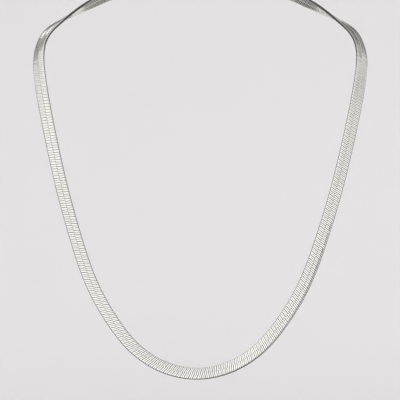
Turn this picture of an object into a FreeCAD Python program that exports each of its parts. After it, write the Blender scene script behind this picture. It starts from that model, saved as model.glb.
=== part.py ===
import FreeCAD, Part
import math
import os
import Sketcher
from FreeCAD import Placement, Rotation, Vector

# Herringbone chain necklace, 22 inches long, in the shape it takes when it is worn.
# Millimetres. +Z is up and the front of the chain faces -Y.
# The origin is the middle of the clasp's inner face, where it lies on the nape.
# "Left" and "right" are as seen from the front.

SIZES = {
    "band_width": 5.1,
    "band_thickness": 1.2,
    "band_edge_radius": 0.5,
    "band_end_x": 11.7,
    "section_spacing": 8.0,
    "bottom_sway": 1.4,
    "sway_power": 1.6,
    "cap_clearance": 0.15,
    "cap_wall": 0.5,
    "cap_pocket_depth": 3.0,
    "cap_end_gap": 0.1,
    "cap_end_wall": 0.8,
    "cap_edge_radius": 0.3,
    "tab_thickness": 0.8,
    "tab_hole_radius": 0.75,
    "tab_wall": 0.7,
    "tab_hole_offset": 2.6,
    "ring_centre_x": 7.0,
    "ring_radius": 2.4,
    "ring_wire_radius": 0.45,
    "clasp_thickness": 1.6,
    "hook_radius": 2.5,
    "hook_end_inset": 0.8,
    "hook_opening_radius": 1.5,
    "hook_opening_inset": 1.7,
    "tail_radius": 1.65,
    "tail_hole_radius": 0.85,
    "tail_hole_offset": 2.55,
    "clasp_edge_radius": 0.35,
}

# The centre line of one half of the chain, from the clasp to the lowest point of the U.
# x, y and z place the point; the face of the band points face_yaw degrees round from
# the front and face_pitch degrees up, as far as its direction of travel lets it.
ROUTE_COLUMNS = ("x", "y", "z", "face_yaw", "face_pitch")
ROUTE = {
    "band_end": (11.7, 0.8, 0.0, 180, 0),
    "nape": (15.2, 0.7, -0.1, 178, 2),
    "nape_side": (25.0, -1.2, -1.5, 170, 8),
    "neck_back": (37.5, -5.8, -5.2, 156, 18),
    "neck_corner": (48.5, -12.3, -11.0, 138, 32),
    "neck_side": (56.6, -19.0, -16.0, 90, 46),
    "shoulder_top": (61.9, -25.6, -20.1, 52, 51),
    "shoulder_roll": (65.6, -32.6, -24.1, 37, 48),
    "shoulder_front": (67.9, -40.9, -29.3, 38, 39),
    "shoulder_foot": (68.6, -50.2, -35.4, 31, 35),
    "collar": (67.7, -61.2, -43.4, 18, 31),
    "arm_top": (65.2, -73.2, -55.6, 9, 27),
    "arm_upper": (61.3, -83.2, -72.3, 7, 23),
    "arm_middle": (56.0, -91.8, -92.9, 8, 22),
    "arm_lower": (49.5, -98.8, -114.0, 7, 22),
    "bend_start": (42.2, -104.2, -132.6, 5, 22),
    "bend_upper": (34.0, -108.0, -146.2, 3, 24),
    "bend_lower": (24.7, -111.0, -156.9, 1, 26),
    "bend_foot": (13.5, -113.0, -163.9, 0, 28),
    "lowest": (0.0, -113.8, -166.6, 0, 29),
}

doc = FreeCAD.newDocument("herringbone_chain")


def fill_sheet():
    """Puts every driving size and the route into named cells."""
    sheet = doc.addObject("Spreadsheet::Sheet", "sizes")
    row = 1
    for alias, value in SIZES.items():
        sheet.set(f"A{row}", alias)
        sheet.set(f"B{row}", str(value))
        sheet.setAlias(f"B{row}", alias)
        row += 1
    for place, values in ROUTE.items():
        sheet.set(f"A{row}", place)
        for column, name, value in zip("BCDEF", ROUTE_COLUMNS, values):
            sheet.set(f"{column}{row}", str(value))
            sheet.setAlias(f"{column}{row}", f"route_{place}_{name}")
        row += 1
    doc.recompute()
    return sheet


sheet = fill_sheet()


def size(alias):
    return float(sheet.get(alias))


def route_value(place, column):
    return size(f"route_{place}_{column}")


# Route of the band

def sway(height):
    """How far the lower part of the U hangs to the left of the clasp."""
    top = route_value("shoulder_foot", "z")
    bottom = route_value("lowest", "z")
    drop = max(0.0, (top - height) / (top - bottom))
    return -size("bottom_sway") * drop ** size("sway_power")


def face_direction(place, side):
    yaw = math.radians(route_value(place, "face_yaw")) * side
    pitch = math.radians(route_value(place, "face_pitch"))
    return Vector(
        math.cos(pitch) * math.sin(yaw),
        -math.cos(pitch) * math.cos(yaw),
        math.sin(pitch),
    )


def route_points():
    """The whole loop's points and face directions, from the left end to the right."""
    down = [(place, -1) for place in ROUTE]
    up = [(place, 1) for place in reversed(ROUTE)][1:]
    points = []
    faces = []
    for place, side in down + up:
        height = route_value(place, "z")
        x = side * route_value(place, "x") + sway(height)
        points.append(Vector(x, route_value(place, "y"), height))
        faces.append(face_direction(place, side))
    return points, faces


def smooth_curve(points, parameters, first_tangent, last_tangent):
    curve = Part.BSplineCurve()
    curve.interpolate(
        Points=points,
        Parameters=parameters,
        InitialTangent=first_tangent,
        FinalTangent=last_tangent,
        Scale=False,
    )
    return curve


def make_route():
    """The centre line and, over the same parameters, the direction of the face."""
    points, faces = route_points()
    parameters = [0.0]
    for before, after in zip(points, points[1:]):
        parameters.append(parameters[-1] + before.distanceToPoint(after))
    centre_line = smooth_curve(points, parameters, Vector(-1, 0, 0), Vector(-1, 0, 0))
    first_turn = (faces[1] - faces[0]) * (1 / parameters[1])
    last_turn = (faces[-1] - faces[-2]) * (1 / (parameters[-1] - parameters[-2]))
    face_guide = smooth_curve(faces, parameters, first_turn, last_turn)
    return centre_line, face_guide


def station_placement(centre_line, face_guide, parameter):
    """The band's local frame: X across the band, Y out of its face, Z along it."""
    along = centre_line.tangent(parameter)[0].normalize()
    face = face_guide.value(parameter)
    face = (face - along * face.dot(along)).normalize()
    across = face.cross(along)
    return Placement(centre_line.value(parameter), Rotation(across, face, along, "ZXY"))


# Band

def band_section():
    """Cross-section of the band: a flat bar with rounded corners."""
    radius = size("band_edge_radius")
    centre_x = size("band_width") / 2 - radius
    centre_y = size("band_thickness") / 2 - radius
    corners = []
    for turn, (side_x, side_y) in enumerate(((1, 1), (-1, 1), (-1, -1), (1, -1))):
        centre = Vector(side_x * centre_x, side_y * centre_y)
        angles = [math.radians(90 * turn + angle) for angle in (0, 45, 90)]
        start, middle, end = [
            centre + Vector(math.cos(angle), math.sin(angle)) * radius for angle in angles]
        corners.append(Part.Arc(start, middle, end))
    edges = []
    for corner, following in zip(corners, corners[1:] + corners[:1]):
        edges.append(corner.toShape())
        edges.append(Part.makeLine(corner.EndPoint, following.StartPoint))
    return Part.Wire(edges)


def make_band():
    """One solid through the band's cross-section at even steps along the route."""
    centre_line, face_guide = make_route()
    length = centre_line.length()
    steps = round(length / size("section_spacing"))
    sections = []
    for number in range(steps + 1):
        distance = length * number / steps
        parameter = centre_line.parameterAtDistance(distance, centre_line.FirstParameter)
        section = doc.addObject("Part::Feature", f"band_section_{number:02d}")
        section.Shape = band_section()
        section.Placement = station_placement(centre_line, face_guide, parameter)
        sections.append(section)
    band = doc.addObject("Part::Loft", "herringbone_band")
    band.Label = "herringbone_band"
    band.Sections = sections
    band.Solid = True
    band.Ruled = False
    band.Closed = False
    doc.recompute()
    section_area = Part.Face(band_section()).Area
    print(f"band length {length:.1f}, clasp to clasp {length + 2 * size('band_end_x'):.1f}")
    print(f"band volume {band.Shape.Volume:.0f}, section times length {section_area * length:.0f}")
    return band


# Outlines and features of the end caps and the clasp

def new_body(label):
    body = doc.addObject("PartDesign::Body", label)
    body.Label = label
    return body


def new_sketch(body, name, plane):
    sketch = body.newObject("Sketcher::SketchObject", name)
    origin_plane = next(item for item in body.Origin.OriginFeatures if item.Role == plane)
    sketch.AttachmentSupport = [(origin_plane, "")]
    sketch.MapMode = "FlatFace"
    return sketch


def constrain(sketch, constraint, expression=None):
    index = sketch.addConstraint(constraint)
    if expression:
        sketch.setExpression(f"Constraints[{index}]", expression)


def evaluate(expression):
    """The value of an expression of the sizes, to draw an outline near its final place."""
    return float(sheet.evalExpression(expression))


def add_rectangle(sketch, low_x, high_x, half_height):
    """A rectangle symmetric about the outline's X axis, sized by three expressions."""
    low, high, half = evaluate(low_x), evaluate(high_x), evaluate(half_height)
    corners = [(low, -half), (high, -half), (high, half), (low, half)]
    lines = []
    for start, end in zip(corners, corners[1:] + corners[:1]):
        lines.append(sketch.addGeometry(Part.LineSegment(Vector(*start), Vector(*end)), False))
    for line, following in zip(lines, lines[1:] + lines[:1]):
        constrain(sketch, Sketcher.Constraint("Coincident", line, 2, following, 1))
    for line in (lines[0], lines[2]):
        constrain(sketch, Sketcher.Constraint("Horizontal", line))
    constrain(sketch, Sketcher.Constraint("Vertical", lines[3]))
    constrain(sketch, Sketcher.Constraint("Symmetric", lines[1], 1, lines[1], 2, -1))
    constrain(sketch, Sketcher.Constraint("DistanceX", -1, 1, lines[0], 1, low), low_x)
    constrain(sketch, Sketcher.Constraint("DistanceX", -1, 1, lines[0], 2, high), high_x)
    constrain(sketch, Sketcher.Constraint("DistanceY", lines[1], 1, lines[1], 2, 2 * half),
              f"2 * ({half_height})")


def add_circle(sketch, centre_x, radius):
    """A circle on the outline's X axis, sized by two expressions."""
    centre = Vector(evaluate(centre_x), 0)
    circle = sketch.addGeometry(Part.Circle(centre, Vector(0, 0, 1), evaluate(radius)), False)
    constrain(sketch, Sketcher.Constraint("PointOnObject", circle, 3, -1))
    constrain(sketch, Sketcher.Constraint("DistanceX", -1, 1, circle, 3, centre.x), centre_x)
    constrain(sketch, Sketcher.Constraint("Radius", circle, evaluate(radius)), radius)


def add_teardrop(sketch, left_x, left_radius, right_x, right_radius):
    """Two arcs on the outline's X axis, joined by the two lines that are tangent to both."""
    left, right = evaluate(left_x), evaluate(right_x)
    big, small = evaluate(left_radius), evaluate(right_radius)
    lean = math.acos((big - small) / (right - left))
    up = Vector(0, 0, 1)
    left_arc = sketch.addGeometry(
        Part.ArcOfCircle(Part.Circle(Vector(left, 0), up, big), lean, 2 * math.pi - lean), False)
    right_arc = sketch.addGeometry(
        Part.ArcOfCircle(Part.Circle(Vector(right, 0), up, small), -lean, lean), False)
    lines = []
    for side in (1, -1):
        direction = Vector(math.cos(lean), side * math.sin(lean))
        start = Vector(left, 0) + direction * big
        end = Vector(right, 0) + direction * small
        lines.append(sketch.addGeometry(Part.LineSegment(start, end), False))
    for arc in (left_arc, right_arc):
        constrain(sketch, Sketcher.Constraint("PointOnObject", arc, 3, -1))
    constrain(sketch, Sketcher.Constraint("Tangent", left_arc, 1, lines[0], 1))
    constrain(sketch, Sketcher.Constraint("Tangent", left_arc, 2, lines[1], 1))
    constrain(sketch, Sketcher.Constraint("Tangent", right_arc, 2, lines[0], 2))
    constrain(sketch, Sketcher.Constraint("Tangent", right_arc, 1, lines[1], 2))
    constrain(sketch, Sketcher.Constraint("DistanceX", -1, 1, left_arc, 3, left), left_x)
    constrain(sketch, Sketcher.Constraint("DistanceX", -1, 1, right_arc, 3, right), right_x)
    constrain(sketch, Sketcher.Constraint("Radius", left_arc, big), left_radius)
    constrain(sketch, Sketcher.Constraint("Radius", right_arc, small), right_radius)


def pad_both_ways(body, sketch, name, length):
    pad = body.newObject("PartDesign::Pad", name)
    pad.Profile = sketch
    pad.Midplane = True
    pad.setExpression("Length", length)
    sketch.Visibility = False
    doc.recompute()
    return pad


def cut_both_ways(body, sketch, name, length):
    before = body.Shape.Volume
    pocket = body.newObject("PartDesign::Pocket", name)
    pocket.Profile = sketch
    pocket.Midplane = True
    pocket.setExpression("Length", length)
    doc.recompute()
    assert body.Shape.Volume < before - 0.1, f"{name} cuts nothing"
    return pocket


def round_edges(body, base, name, radius, chosen):
    """Rounds those edges of the base feature that the test picks."""
    picked = [f"Edge{i}" for i, edge in enumerate(base.Shape.Edges, 1) if chosen(edge)]
    fillet = body.newObject("PartDesign::Fillet", name)
    fillet.Base = (base, picked)
    fillet.setExpression("Radius", radius)
    doc.recompute()
    return fillet


# End caps

TAB_HOLE_X = "sizes.ring_centre_x + sizes.tab_hole_offset"
CAP_MOUTH_X = "sizes.band_end_x - sizes.cap_end_gap + sizes.cap_pocket_depth"
CAP_FACE_X = "sizes.band_end_x - sizes.cap_end_gap - sizes.cap_end_wall"
POCKET_FLOOR_X = "sizes.band_end_x - sizes.cap_end_gap"
POCKET_HALF_HEIGHT = "sizes.band_width / 2 + sizes.cap_clearance"
POCKET_THICKNESS = "sizes.band_thickness + 2 * sizes.cap_clearance"
CAP_HALF_HEIGHT = "sizes.band_width / 2 + sizes.cap_clearance + sizes.cap_wall"
CAP_THICKNESS = "sizes.band_thickness + 2 * sizes.cap_clearance + 2 * sizes.cap_wall"


def make_end_cap(label, turn):
    """A crimped cap over the band's end, with a flat tab that has the jump ring's hole."""
    body = new_body(label)
    block_outline = new_sketch(body, f"{label}_block_outline", "XZ_Plane")
    add_rectangle(block_outline, CAP_FACE_X, CAP_MOUTH_X, CAP_HALF_HEIGHT)
    block = pad_both_ways(body, block_outline, f"{label}_block", CAP_THICKNESS)
    soft = round_edges(
        body, block, f"{label}_soft_edges", "sizes.cap_edge_radius",
        lambda edge: abs(edge.tangentAt(edge.FirstParameter).x) > 0.99)
    tab_outline = new_sketch(body, f"{label}_tab_outline", "XZ_Plane")
    add_rectangle(tab_outline, TAB_HOLE_X, f"{CAP_FACE_X} + sizes.cap_end_wall / 2",
                  "sizes.tab_hole_radius + sizes.tab_wall")
    pad_both_ways(body, tab_outline, f"{label}_tab", "sizes.tab_thickness")
    tab_end = new_sketch(body, f"{label}_tab_end_outline", "XZ_Plane")
    add_circle(tab_end, TAB_HOLE_X, "sizes.tab_hole_radius + sizes.tab_wall")
    pad_both_ways(body, tab_end, f"{label}_tab_end", "sizes.tab_thickness")
    hole = new_sketch(body, f"{label}_hole_outline", "XZ_Plane")
    add_circle(hole, TAB_HOLE_X, "sizes.tab_hole_radius")
    cut_both_ways(body, hole, f"{label}_hole", "2 * sizes.tab_thickness")
    pocket_outline = new_sketch(body, f"{label}_pocket_outline", "XZ_Plane")
    add_rectangle(pocket_outline, POCKET_FLOOR_X, f"{CAP_MOUTH_X} + 1", POCKET_HALF_HEIGHT)
    cut_both_ways(body, pocket_outline, f"{label}_pocket", POCKET_THICKNESS)
    body.Placement = Placement(Vector(0, size("clasp_thickness") / 2, 0),
                               Rotation(Vector(0, 0, 1), turn))
    return body


# Jump rings and clasp

def make_jump_ring(label, side):
    ring = doc.addObject("Part::Torus", label)
    ring.Label = label
    ring.setExpression("Radius1", "sizes.ring_radius")
    ring.setExpression("Radius2", "sizes.ring_wire_radius")
    ring.setExpression("Placement.Base.x", f"{side} * sizes.ring_centre_x")
    ring.setExpression("Placement.Base.y", "sizes.clasp_thickness / 2")
    return ring


def make_clasp():
    """Lobster clasp drawn closed: a hook end with its opening and a tail with its hole."""
    body = new_body("lobster_clasp")
    outline = new_sketch(body, "clasp_outline", "XZ_Plane")
    add_teardrop(
        outline,
        "-sizes.ring_centre_x + sizes.hook_end_inset + sizes.hook_radius", "sizes.hook_radius",
        "sizes.ring_centre_x - sizes.tail_hole_offset", "sizes.tail_radius")
    plate = pad_both_ways(body, outline, "clasp_plate", "sizes.clasp_thickness")
    round_edges(
        body, plate, "clasp_soft_edges", "sizes.clasp_edge_radius",
        lambda edge: abs(edge.BoundBox.YLength) < 0.01)
    opening = new_sketch(body, "clasp_opening_outline", "XZ_Plane")
    add_circle(opening,
               "-sizes.ring_centre_x + sizes.hook_opening_inset + sizes.hook_opening_radius",
               "sizes.hook_opening_radius")
    cut_both_ways(body, opening, "clasp_opening", "2 * sizes.clasp_thickness")
    tail_hole = new_sketch(body, "clasp_tail_hole_outline", "XZ_Plane")
    add_circle(tail_hole, "sizes.ring_centre_x - sizes.tail_hole_offset",
               "sizes.tail_hole_radius")
    cut_both_ways(body, tail_hole, "clasp_tail_hole", "2 * sizes.clasp_thickness")
    body.Placement = Placement(Vector(0, size("clasp_thickness") / 2, 0), Rotation())
    return body


# The necklace

pieces = [
    make_band(),
    make_end_cap("end_cap_left", 180),
    make_end_cap("end_cap_right", 0),
    make_jump_ring("jump_ring_left", -1),
    make_jump_ring("jump_ring_right", 1),
    make_clasp(),
]
doc.recompute()

for item in doc.Objects:
    assert "Invalid" not in item.State and "Error" not in item.State, f"{item.Name} failed"
for piece in pieces:
    shape = piece.Shape
    assert not shape.isNull() and shape.isValid(), f"{piece.Label} has no valid shape"
    assert len(shape.Solids) == 1, f"{piece.Label} isn't one solid"

os.makedirs("parts", exist_ok=True)
for piece in pieces:
    piece.Shape.exportStep(f"parts/{piece.Label}.step")
    print(f"{piece.Label}: {piece.Shape.Volume:.1f} mm3")
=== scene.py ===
import math

import bpy
import numpy as np
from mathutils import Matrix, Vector


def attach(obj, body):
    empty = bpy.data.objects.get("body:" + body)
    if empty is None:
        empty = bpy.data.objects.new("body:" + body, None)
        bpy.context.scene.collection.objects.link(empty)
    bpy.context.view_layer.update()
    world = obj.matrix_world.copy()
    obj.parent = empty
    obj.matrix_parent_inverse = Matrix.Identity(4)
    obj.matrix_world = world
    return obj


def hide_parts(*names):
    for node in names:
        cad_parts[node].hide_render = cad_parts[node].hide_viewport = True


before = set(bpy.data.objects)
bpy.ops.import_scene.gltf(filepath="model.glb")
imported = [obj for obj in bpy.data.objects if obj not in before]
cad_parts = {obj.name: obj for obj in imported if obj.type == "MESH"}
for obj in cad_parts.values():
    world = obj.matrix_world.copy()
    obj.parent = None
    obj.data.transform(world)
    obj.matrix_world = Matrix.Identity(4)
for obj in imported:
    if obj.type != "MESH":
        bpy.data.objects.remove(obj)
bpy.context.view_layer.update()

# A flat herringbone chain in its worn shape, in a pale studio.
# Metres, and millimetres where it says so. +Z is up and the front of the chain faces -Y.
# Along the band, s runs from the left end to the right, u from the outer edge to the inner,
# and w out of the band's face.

MM = 0.001

# The centre line of one half of the chain in millimetres, from the clasp to the lowest point,
# the same as in the CAD model. The face points face_yaw degrees round from the front and
# face_pitch degrees up.
ROUTE_COLUMNS = ("x", "y", "z", "face_yaw", "face_pitch")
ROUTE = {
    "band_end": (11.7, 0.8, 0.0, 180, 0),
    "nape": (15.2, 0.7, -0.1, 178, 2),
    "nape_side": (25.0, -1.2, -1.5, 170, 8),
    "neck_back": (37.5, -5.8, -5.2, 156, 18),
    "neck_corner": (48.5, -12.3, -11.0, 138, 32),
    "neck_side": (56.6, -19.0, -16.0, 90, 46),
    "shoulder_top": (61.9, -25.6, -20.1, 52, 51),
    "shoulder_roll": (65.6, -32.6, -24.1, 37, 48),
    "shoulder_front": (67.9, -40.9, -29.3, 38, 39),
    "shoulder_foot": (68.6, -50.2, -35.4, 31, 35),
    "collar": (67.7, -61.2, -43.4, 18, 31),
    "arm_top": (65.2, -73.2, -55.6, 9, 27),
    "arm_upper": (61.3, -83.2, -72.3, 7, 23),
    "arm_middle": (56.0, -91.8, -92.9, 8, 22),
    "arm_lower": (49.5, -98.8, -114.0, 7, 22),
    "bend_start": (42.2, -104.2, -132.6, 5, 22),
    "bend_upper": (34.0, -108.0, -146.2, 3, 24),
    "bend_lower": (24.7, -111.0, -156.9, 1, 26),
    "bend_foot": (13.5, -113.0, -163.9, 0, 28),
    "lowest": (0.0, -113.8, -166.6, 0, 29),
}
ROUTE_SAMPLES = 9000

# The lowest point hangs this far to the left in millimetres, and the arms less and less upwards
# as far as the foot of the shoulders.
BOTTOM_SWAY = 1.4
SWAY_POWER = 1.6

# Sizes of the band and of one link, in millimetres. A link is a closed loop of doubled wire.
# The first and the last link stand END_MARGIN from the route's ends.
BAND_WIDTH = 5.1
BAND_THICKNESS = 1.2
END_MARGIN = 1.9
LINK_PITCH = 1.59
WIRE_PITCH = LINK_PITCH / 2
WIRE_THICKNESS = 0.4

# In millimetres, how much nearer its twin each wire stands than even spacing would put it, how
# far the crossing reaches to each side of the middle, and how far it steps back along the band.
PAIR_CLOSING = 0.012
CROSSING_REACH = 0.155
CROSSING_SETBACK = 0.5

# How much of its pitch a wire covers: along the faces, round the edges and at the crossing.
WIRE_COVER = 0.9
EDGE_COVER = 0.97
CROSSING_COVER = 0.70

# How far the wire moves along the band between edge and middle, in half wire pitches.
CROSSING_OFFSET = 2.5

# The wires' faces slope along the band, one column against the other, and by chance each link
# slopes a little more or less.
COLUMN_TILT = 0.026
TILT_CHANCE = 0.012
LEFT_SEED = 11
RIGHT_SEED = 12

# Painted shade darkens the wire on the band's walls, in its grooves and at the crossing.
# Shade lift says how little of the painted shade in the grooves shows, painted lightness how
# light the painted shade leaves the wire, both up to 1. The outer edge is painted
# OUTER_EDGE_GAIN times as light as the inner one, so the inner edge takes a darker painted shade.
CROSSING_SHADE_LIFT = 0.60
BEVEL_SHADE_LIFT = 0.92
WALL_PAINTED_LIGHTNESS = 0.05
BACK_BEVEL_PAINTED_LIGHTNESS = 0.5
OUTER_EDGE_GAIN = 2

# Where the wire's path has a station: angles in degrees round the band's edges, with shade
# lift and painted lightness, and shares of the straight runs and of the crossing.
FRONT_EDGE = ((0, 0, WALL_PAINTED_LIGHTNESS), (30, 0, WALL_PAINTED_LIGHTNESS), (60, BEVEL_SHADE_LIFT, 1))
BACK_EDGE = ((30, BEVEL_SHADE_LIFT, BACK_BEVEL_PAINTED_LIGHTNESS), (60, 0, WALL_PAINTED_LIGHTNESS))
RUN_SHARES = (0, 1 / 3, 2 / 3, 1)
CROSSING_SHARES = (0.17, 0.33, 0.5, 0.67, 0.83)

# Corners of the wire sharper than this angle in degrees keep a crease.
SHARP_ANGLE = 30

# One wire in cross-section: shares of its half width and half thickness, and how light the
# painted shade leaves each corner in the outer and in the inner column. Its twin lies on the
# positive side.
WIRE_PROFILE = (
    (0.76, 1.0, 1, 1), (1.0, 0.3, 0.05, 0.4), (1.0, -0.3, 0.05, 0.4), (0.76, -1.0, 1, 1),
    (-0.70, -1.0, 1, 1), (-1.0, -0.1, 0, 0), (-1.0, 0.1, 0, 0), (-0.70, 1.0, 1, 1),
)

# Silver and the dark painted shade on its walls and in its grooves, and the painted lightness
# at which each is pure.
SILVER = (0.92, 0.905, 0.875, 1)
PAINTED_SHADE = (0.10, 0.097, 0.09, 1)
PAINTED_SHADE_AT = 0.15
SILVER_AT = 0.95

# The silver's surface: noise scales and details, roughness from and to, and the scratches'
# bumps, with their depth in metres.
POLISH_SCALE = 900
POLISH_DETAIL = 3
ROUGHNESS_RANGE = (0.09, 0.2)
BAND_SCRATCH_SCALE = 9000
FITTING_SCRATCH_SCALE = 5000
SCRATCH_DETAIL = 4
SCRATCH_STRENGTH = 0.08
SCRATCH_DEPTH = 0.00002

# The floor: a flat disc well below the chain, and a curve up into a rim far away from it.
FLOOR_COLOUR = (0.86, 0.848, 0.854, 1)
FLOOR_ROUGHNESS = 0.9
FLOOR_Z = -0.30
FLOOR_RADIUS = 1.8
FLOOR_BEND_RADIUS = 1.2
FLOOR_RIM_HEIGHT = 2.4
FLOOR_FLAT_RINGS = 5
FLOOR_BEND_RINGS = 12
FLOOR_SIDES = 96

# The studio's light is even but for soft patches. Each patch has a direction, the angles from
# it in degrees at which the patch is full and at which it ends, and the strength it adds.
STUDIO_BASE = 0.87
STUDIO_DIMMEST = 0.09
STUDIO_PATCHES = {
    "front_light": ((0, -1, 0.25), 10, 75, 0.32),
    "overhead_light": ((0, -0.25, 1), 5, 45, 0.22),
    "right_shade_behind": ((0.54, 0.29, 0.79), 5, 30, -0.28),
    "right_shade_in_front": ((0.32, -0.38, 0.87), 5, 40, -0.30),
    "upper_back_shade": ((0.02, 0.906, 0.423), 36, 40, -0.54),
    "upper_back_core": ((0, 0.95, 0.31), 24, 33, -0.24),
    "shade_below": ((0, 0, -1), 30, 85, -0.09),
    "front_right_shade": ((0.36, -0.93, 0.07), 17, 25, -0.85),
    "low_right_shade": ((0.945, 0.253, -0.208), 26, 38, -0.5),
    "low_left_shade": ((-0.945, 0.253, -0.208), 26, 38, -0.5),
    "shoulder_highlight": ((-0.28, 0.76, 0.59), 1, 6, 1.4),
}

# A light for dull surfaces only, its spread in radians and its tilt in degrees.
FILL_STRENGTH = 0.51
FILL_SPREAD = 2.4
FILL_TILT = 50

# The camera is level and straight in front, with this distance to the band's lowest point.
CAMERA_DISTANCE = 1.0
CAMERA_X = -0.00012
CAMERA_Z = -0.0971
CAMERA_FRAME_WIDTH = 0.16
CAMERA_SENSOR_WIDTH = 36
CAMERA_CLIP_END = 20


# Route of the band

def smooth_curve(values, parameters, first_slope, last_slope):
    """The cubic spline through the values; returns its value and slope at any parameters."""
    values = np.array(values, float)
    steps = np.diff(parameters)
    count = len(values)
    matrix = np.zeros((count, count))
    right = np.zeros_like(values)
    matrix[0, 0] = matrix[-1, -1] = 1
    right[0], right[-1] = first_slope, last_slope
    for row in range(1, count - 1):
        before, after = 1 / steps[row - 1], 1 / steps[row]
        matrix[row, row - 1:row + 2] = before, 2 * (before + after), after
        right[row] = 3 * (before ** 2 * (values[row] - values[row - 1])
                          + after ** 2 * (values[row + 1] - values[row]))
    slopes = np.linalg.solve(matrix, right)

    def evaluate(places):
        span = np.clip(np.searchsorted(parameters, places) - 1, 0, count - 2)
        step = steps[span][:, None]
        t = ((places - parameters[span]) / steps[span])[:, None]
        low, high = values[span], values[span + 1]
        low_slope, high_slope = slopes[span] * step, slopes[span + 1] * step
        rise = high - low
        bend = 3 * rise - 2 * low_slope - high_slope
        twist = low_slope + high_slope - 2 * rise
        value = low + t * (low_slope + t * (bend + t * twist))
        slope = (low_slope + t * (2 * bend + 3 * t * twist)) / step
        return value, slope

    return evaluate


def route_points():
    """The whole loop's points and face directions, from the left end to the right."""
    top = ROUTE["shoulder_foot"][ROUTE_COLUMNS.index("z")]
    bottom = ROUTE["lowest"][ROUTE_COLUMNS.index("z")]
    down = [(place, -1) for place in ROUTE]
    up = [(place, 1) for place in reversed(ROUTE)][1:]
    points = []
    faces = []
    for place, side in down + up:
        x, y, z, yaw, pitch = ROUTE[place]
        drop = max(0.0, (top - z) / (top - bottom))
        points.append((side * x - BOTTOM_SWAY * drop ** SWAY_POWER, y, z))
        yaw, pitch = math.radians(yaw) * side, math.radians(pitch)
        faces.append((math.cos(pitch) * math.sin(yaw), -math.cos(pitch) * math.cos(yaw),
                      math.sin(pitch)))
    return np.array(points), np.array(faces)


def unit(vectors):
    return vectors / np.linalg.norm(vectors, axis=-1, keepdims=True)


def trace_route():
    """The band's distances at close steps, and its centre, across and face vectors there."""
    points, faces = route_points()
    chords = np.linalg.norm(np.diff(points, axis=0), axis=1)
    parameters = np.concatenate(([0.0], np.cumsum(chords)))
    leftwards = (-1, 0, 0)
    centre_line = smooth_curve(points, parameters, leftwards, leftwards)
    first_turn = (faces[1] - faces[0]) / chords[0]
    last_turn = (faces[-1] - faces[-2]) / chords[-1]
    face_guide = smooth_curve(faces, parameters, first_turn, last_turn)
    places = np.linspace(0, parameters[-1], ROUTE_SAMPLES)
    centre, travel = centre_line(places)
    along = unit(travel)
    face = face_guide(places)[0]
    face = unit(face - along * np.sum(face * along, axis=1, keepdims=True))
    across = np.cross(face, along)
    steps = np.linalg.norm(np.diff(centre, axis=0), axis=1)
    distance = np.concatenate(([0.0], np.cumsum(steps)))
    return distance, np.hstack((centre, across, face))


def place_on_route(route, u, w, s):
    """Bends points given across, out of and along the band into their place on the route."""
    distance, columns = route
    at = np.stack([np.interp(s, distance, column) for column in columns.T], axis=-1)
    return at[..., 0:3] + u[..., None] * at[..., 3:6] + w[..., None] * at[..., 6:9]


# Meshes and objects

def tube_faces(stations, sides, closed):
    """The quads between rings of points, closed into a loop or open at both ends."""
    spans = stations if closed else stations - 1
    station, side = np.meshgrid(np.arange(spans), np.arange(sides), indexing="ij")
    next_station, next_side = (station + 1) % stations, (side + 1) % sides
    corners = (station * sides + side, station * sides + next_side,
               next_station * sides + next_side, next_station * sides + side)
    return np.stack(corners, axis=-1).reshape(-1, 4)


def new_mesh(name, points, faces):
    mesh = bpy.data.meshes.new(name)
    mesh.from_pydata(points.tolist(), [], faces.tolist())
    mesh.shade_smooth()
    return mesh


def new_object(name, data):
    """A new object with this data, in the scene."""
    new = bpy.data.objects.new(name, data)
    bpy.context.scene.collection.objects.link(new)
    return new


# Links

def ease(t):
    return t * t * (3 - 2 * t)


def half_link():
    """Half a link's wire: up round the outer edge, in along the face, down through the
    middle of the band and on along the back to the inner edge. Rows of u, w, s, cover,
    shade lift and painted lightness."""
    height = (BAND_THICKNESS - WIRE_THICKNESS) / 2
    bar_end = BAND_WIDTH / 2 - WIRE_THICKNESS / 2 - height
    bar_length = bar_end - CROSSING_REACH
    reach = math.pi / 2 * height + bar_length
    lean = CROSSING_OFFSET * WIRE_PITCH / 2 / reach
    rows = []
    for angle, shade_lift, station_lightness in FRONT_EDGE:
        turn = math.radians(angle)
        rows.append((-bar_end - height * math.cos(turn), height * math.sin(turn),
                     lean * height * turn, EDGE_COVER, shade_lift, station_lightness))
    for share in RUN_SHARES:
        rows.append((-bar_end + share * bar_length, height,
                     lean * (reach - bar_length * (1 - share)), WIRE_COVER, 0, 1))
    for share in CROSSING_SHARES:
        narrow = math.sin(math.pi * share)
        rows.append((CROSSING_REACH * (2 * share - 1), height * (1 - 2 * ease(share)),
                     lean * reach - CROSSING_SETBACK * share,
                     WIRE_COVER + (CROSSING_COVER - WIRE_COVER) * narrow, CROSSING_SHADE_LIFT, 1))
    for share in RUN_SHARES:
        rows.append((CROSSING_REACH + share * bar_length, -height,
                     lean * (reach - bar_length * share) - CROSSING_SETBACK, WIRE_COVER, 0, 1))
    for angle, shade_lift, station_lightness in BACK_EDGE:
        turn = math.radians(angle)
        rows.append((bar_end + height * math.sin(turn), -height * math.cos(turn),
                     lean * height * (math.pi / 2 - turn) - CROSSING_SETBACK, EDGE_COVER,
                     shade_lift, station_lightness))
    return np.array(rows)


def link_rows():
    """The whole link: its two halves are one half turned about the band's face normal."""
    half = half_link()
    turned = half * (-1, 1, -1, 1, 1, 1) + (0, 0, -CROSSING_SETBACK, 0, 0, 0)
    return np.vstack((half, turned))


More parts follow.
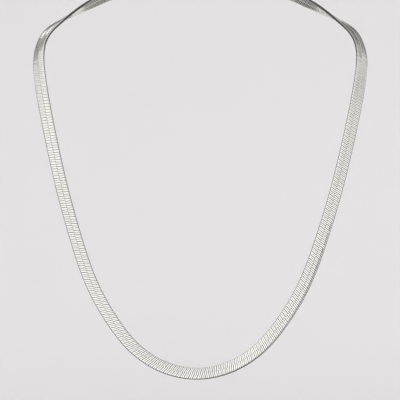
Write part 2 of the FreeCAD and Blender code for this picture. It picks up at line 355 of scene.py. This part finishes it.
def make_wires(name, route, starts, seed):
    """One mesh of the links whose outer edges cross the route at the given distances."""
    rows = link_rows()
    u, w, s, cover, shade_lift, station_lightness = rows.T
    ahead, behind = np.roll(rows, -1, axis=0), np.roll(rows, 1, axis=0)
    run = unit((ahead - behind)[:, :2])
    profile = np.array(WIRE_PROFILE)
    half_width = cover[:, None] * WIRE_PITCH / 2 * profile[None, :, 0]
    half_depth = WIRE_THICKNESS / 2 * profile[None, :, 1]
    tilt = COLUMN_TILT * np.sign(-u)[:, None] * np.sign(w)[:, None]
    wire_u = u[:, None] - run[:, 1:2] * half_depth
    wire_w = w[:, None] + run[:, 0:1] * half_depth
    # The painted shade: each corner's painted lightness, raised by the shade lift and scaled by the
    # station's painted lightness; the outer edge's painted lightness is raised by OUTER_EDGE_GAIN.
    painted_lightness = np.where(u[:, None] < 0, profile[None, :, 2], profile[None, :, 3])
    station_lightness = np.where(u < 0, np.minimum(1, station_lightness * OUTER_EDGE_GAIN), station_lightness)
    painted_lightness = np.maximum(painted_lightness, shade_lift[:, None]) * station_lightness[:, None]
    chance = np.random.RandomState(seed)
    stations, sides = wire_u.shape
    tube = tube_faces(stations, sides, closed=True)
    points, faces = [], []
    for start in starts:
        wobble = chance.normal(0, TILT_CHANCE)
        for twin in (1, -1):
            across = twin * half_width
            at_s = start + s[:, None] + across + twin * (PAIR_CLOSING - WIRE_PITCH / 2)
            at_w = wire_w + across * (tilt + wobble)
            faces.append((tube if twin == 1 else tube[:, ::-1]) + len(points) * stations * sides)
            points.append(place_on_route(route, wire_u, at_w, at_s).reshape(-1, 3) * MM)
    mesh = new_mesh(name, np.vstack(points), np.vstack(faces))
    mesh.set_sharp_from_angle(angle=math.radians(SHARP_ANGLE))
    brightness = mesh.attributes.new("painted_lightness", "FLOAT", "POINT")
    brightness.data.foreach_set("value", np.tile(painted_lightness.ravel(), len(points)))
    mesh.update()
    return new_object(name, mesh)


def make_band():
    """The links of the band, in two meshes that meet at the lowest point."""
    route = trace_route()
    length = route[0][-1]
    count = round((length - 2 * END_MARGIN) / LINK_PITCH)
    starts = np.linspace(END_MARGIN, length - END_MARGIN, count)
    half = count // 2
    return [
        make_wires("herringbone_links_left", route, starts[:half], LEFT_SEED),
        make_wires("herringbone_links_right", route, starts[half:], RIGHT_SEED),
    ]


# Materials

def new_material(name):
    """A material and its shader node."""
    material = bpy.data.materials.new(name)
    material.use_nodes = True
    return material, material.node_tree.nodes["Principled BSDF"]


def add_noise(tree, scale, detail):
    """Noise in the object's own coordinates; returns the noise's output."""
    place = tree.nodes.new("ShaderNodeTexCoord")
    noise = tree.nodes.new("ShaderNodeTexNoise")
    noise.inputs["Scale"].default_value = scale
    noise.inputs["Detail"].default_value = detail
    tree.links.new(place.outputs["Object"], noise.inputs["Vector"])
    return noise.outputs["Fac"]


def make_silver(name, scratch_scale, with_painted_shade=False):
    """Polished silver, finely scratched and unevenly rough; painted shade where the painted
    lightness is low.
    """
    material, shader = new_material(name)
    tree = material.node_tree
    shader.inputs["Metallic"].default_value = 1.0
    shader.inputs["Base Color"].default_value = SILVER
    if with_painted_shade:
        # Painted shade: the colour darkens from silver towards near black where the painted
        # lightness stored on the points is low.
        painted_lightness = tree.nodes.new("ShaderNodeAttribute")
        painted_lightness.attribute_name = "painted_lightness"
        tone = tree.nodes.new("ShaderNodeValToRGB")
        dull, bright = tone.color_ramp.elements
        dull.position = PAINTED_SHADE_AT
        dull.color = PAINTED_SHADE
        bright.position = SILVER_AT
        bright.color = SILVER
        tree.links.new(painted_lightness.outputs["Fac"], tone.inputs["Fac"])
        tree.links.new(tone.outputs["Color"], shader.inputs["Base Color"])
    roughness = tree.nodes.new("ShaderNodeMapRange")
    roughness.inputs["To Min"].default_value = ROUGHNESS_RANGE[0]
    roughness.inputs["To Max"].default_value = ROUGHNESS_RANGE[1]
    tree.links.new(add_noise(tree, POLISH_SCALE, POLISH_DETAIL), roughness.inputs["Value"])
    tree.links.new(roughness.outputs["Result"], shader.inputs["Roughness"])
    bump = tree.nodes.new("ShaderNodeBump")
    bump.inputs["Strength"].default_value = SCRATCH_STRENGTH
    bump.inputs["Distance"].default_value = SCRATCH_DEPTH
    tree.links.new(add_noise(tree, scratch_scale, SCRATCH_DETAIL), bump.inputs["Height"])
    tree.links.new(bump.outputs["Normal"], shader.inputs["Normal"])
    return material


# The studio

def make_floor():
    """A pale round floor that curves up into a rim. The silver doesn't mirror it."""
    rings = [(0.0, 0.0)]
    for share in np.linspace(0, 1, FLOOR_FLAT_RINGS + 1)[1:]:
        rings.append((FLOOR_RADIUS * share, 0.0))
    for angle in np.linspace(0, math.pi / 2, FLOOR_BEND_RINGS + 1)[1:]:
        rings.append((FLOOR_RADIUS + FLOOR_BEND_RADIUS * math.sin(angle),
                      FLOOR_BEND_RADIUS * (1 - math.cos(angle))))
    rings.append((FLOOR_RADIUS + FLOOR_BEND_RADIUS, FLOOR_RIM_HEIGHT))
    turn = 2 * math.pi * np.arange(FLOOR_SIDES) / FLOOR_SIDES
    points = [np.stack((radius * np.cos(turn), radius * np.sin(turn),
                        np.full(FLOOR_SIDES, FLOOR_Z + rise)), axis=-1)
              for radius, rise in rings]
    faces = tube_faces(len(rings), FLOOR_SIDES, closed=False)
    floor = new_object("studio_floor", new_mesh("studio_floor", np.vstack(points), faces))
    material, shader = new_material("pale_floor")
    shader.inputs["Base Color"].default_value = FLOOR_COLOUR
    shader.inputs["Roughness"].default_value = FLOOR_ROUGHNESS
    floor.data.materials.append(material)
    floor.visible_glossy = False


def make_world():
    """The light all round: the even base with its patches, nowhere darker than the dimmest."""
    world = bpy.data.worlds.new("studio")
    bpy.context.scene.world = world
    world.use_nodes = True
    nodes, links = world.node_tree.nodes, world.node_tree.links
    place = nodes.new("ShaderNodeTexCoord")
    base = nodes.new("ShaderNodeValue")
    base.outputs["Value"].default_value = STUDIO_BASE
    total = base.outputs["Value"]
    for axis, full, end, strength in STUDIO_PATCHES.values():
        dot = nodes.new("ShaderNodeVectorMath")
        dot.operation = "DOT_PRODUCT"
        dot.inputs[1].default_value = Vector(axis).normalized()
        links.new(place.outputs["Generated"], dot.inputs[0])
        fade = nodes.new("ShaderNodeMapRange")
        fade.interpolation_type = "SMOOTHSTEP"
        fade.inputs["From Min"].default_value = math.cos(math.radians(end))
        fade.inputs["From Max"].default_value = math.cos(math.radians(full))
        fade.inputs["To Min"].default_value = 0
        fade.inputs["To Max"].default_value = strength
        links.new(dot.outputs["Value"], fade.inputs["Value"])
        add = nodes.new("ShaderNodeMath")
        add.operation = "ADD"
        links.new(fade.outputs["Result"], add.inputs[0])
        links.new(total, add.inputs[1])
        total = add.outputs["Value"]
    dimmest = nodes.new("ShaderNodeMath")
    dimmest.operation = "MAXIMUM"
    dimmest.inputs[1].default_value = STUDIO_DIMMEST
    links.new(total, dimmest.inputs[0])
    links.new(dimmest.outputs["Value"], nodes["Background"].inputs["Strength"])
    nodes["Background"].inputs["Color"].default_value = (1, 1, 1, 1)


def make_fill_light():
    """A very soft light from the front and above. The silver doesn't mirror it."""
    data = bpy.data.lights.new("floor_fill", "SUN")
    data.energy = FILL_STRENGTH
    data.angle = FILL_SPREAD
    light = new_object("floor_fill", data)
    light.rotation_euler = (math.radians(FILL_TILT), 0, 0)
    light.visible_glossy = False


def make_camera():
    lowest_y = ROUTE["lowest"][ROUTE_COLUMNS.index("y")] * MM
    data = bpy.data.cameras.new("camera")
    data.sensor_width = CAMERA_SENSOR_WIDTH
    data.lens = data.sensor_width * CAMERA_DISTANCE / CAMERA_FRAME_WIDTH
    data.clip_end = CAMERA_CLIP_END
    camera = new_object("camera", data)
    camera.location = (CAMERA_X, lowest_y - CAMERA_DISTANCE, CAMERA_Z)
    camera.rotation_euler = (math.pi / 2, 0, 0)
    bpy.context.scene.camera = camera


# The chain in its materials, and the studio round it

band_silver = make_silver("woven_silver", BAND_SCRATCH_SCALE, with_painted_shade=True)
fitting_silver = make_silver("fitting_silver", FITTING_SCRATCH_SCALE)

for piece in make_band():
    piece.data.materials.append(band_silver)
    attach(piece, "root")
    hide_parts("herringbone_band")

for node in ("end_cap_left", "end_cap_right", "jump_ring_left", "jump_ring_right", "lobster_clasp"):
    for slot in bpy.data.objects[node].material_slots:
        slot.material = fitting_silver

make_floor()
make_world()
make_fill_light()
make_camera()
bpy.context.scene.view_settings.view_transform = "Standard"
# The default prefilter blurs the weave.
bpy.context.scene.cycles.denoising_prefilter = "NONE"
